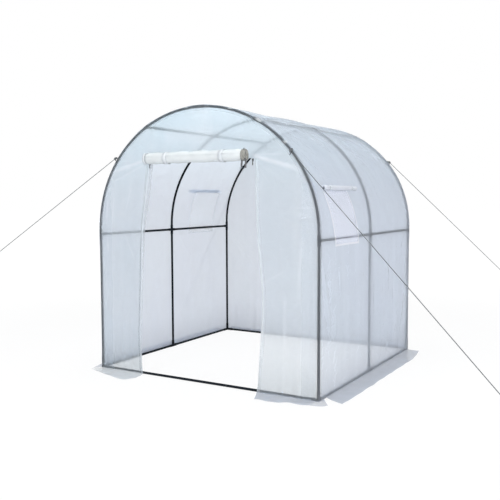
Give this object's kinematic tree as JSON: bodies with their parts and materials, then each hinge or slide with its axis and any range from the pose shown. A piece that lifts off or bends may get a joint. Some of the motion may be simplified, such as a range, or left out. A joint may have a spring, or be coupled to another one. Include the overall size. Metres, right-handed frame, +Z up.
{
  "type": "walk-in tunnel greenhouse",
  "caption": "Walk-in tunnel greenhouse: arched steel tube frame under a translucent film cover, with a roll-up door, net windows, ground skirts and guy ropes to ground pegs.",
  "frame": {"origin": "on the ground, in the middle of the tunnel", "axes": "+Z up, the doorway faces -Y, +X to the right when looking at the doorway"},
  "size_m": [5.406, 3.7961, 2.0148],
  "materials": {
    "frame_tube": "dark grey coated steel tube, satin",
    "socket": "dark coated steel sockets",
    "cover_film": "thin translucent polyethylene film with a soft sheen",
    "door_film": "the same film in many layers, rolled up, so nearly white",
    "window_net": "fine white insect net",
    "strap": "grey-beige woven tie strap",
    "guy_rope": "thin light grey twisted cord",
    "peg": "zinc-plated steel rod"
  },
  "bodies": {
    "root": {"arch_back": "frame_tube", "arch_front": "frame_tube", "arch_mid": "frame_tube", "back_wall": "cover_film", "base_rail_back": "frame_tube", "base_rail_front": "frame_tube", "base_rail_left_front": "frame_tube", "base_rail_left_rear": "frame_tube", "base_rail_right_front": "frame_tube", "base_rail_right_rear": "frame_tube", "base_tee_left": "socket", "base_tee_right": "socket", "corner_elbow_back_left": "socket", "corner_elbow_back_right": "socket", "corner_elbow_front_left": "socket", "corner_elbow_front_right": "socket", "door_roll": "door_film", "door_tie_left": "strap", "door_tie_right": "strap", "front_gable": "cover_film", "front_wall_left": "cover_film", "front_wall_right": "cover_film", "guy_rope_back_left": "guy_rope", "guy_rope_back_right": "guy_rope", "guy_rope_front_left": "guy_rope", "guy_rope_front_right": "guy_rope", "leg_back_left": "frame_tube", "leg_back_right": "frame_tube", "leg_front_left": "frame_tube", "leg_front_right": "frame_tube", "leg_mid_left": "frame_tube", "leg_mid_right": "frame_tube", "peg_back_left": "peg", "peg_back_right": "peg", "peg_front_left": "peg", "peg_front_right": "peg", "purlin_left_front": "frame_tube", "purlin_left_rear": "frame_tube", "purlin_right_front": "frame_tube", "purlin_right_rear": "frame_tube", "roof_crown": "cover_film", "roof_left": "cover_film", "roof_right": "cover_film", "side_rail_left_front": "frame_tube", "side_rail_left_rear": "frame_tube", "side_rail_right_front": "frame_tube", "side_rail_right_rear": "frame_tube", "side_wall_left": "cover_film", "side_wall_right": "cover_film", "skirt_back": "cover_film", "skirt_front_left": "cover_film", "skirt_front_right": "cover_film", "skirt_left": "cover_film", "skirt_right": "cover_film", "window_flap_left": "door_film", "window_flap_right": "door_film", "window_net_left": "window_net", "window_net_right": "window_net"}
  },
  "joints": []
}
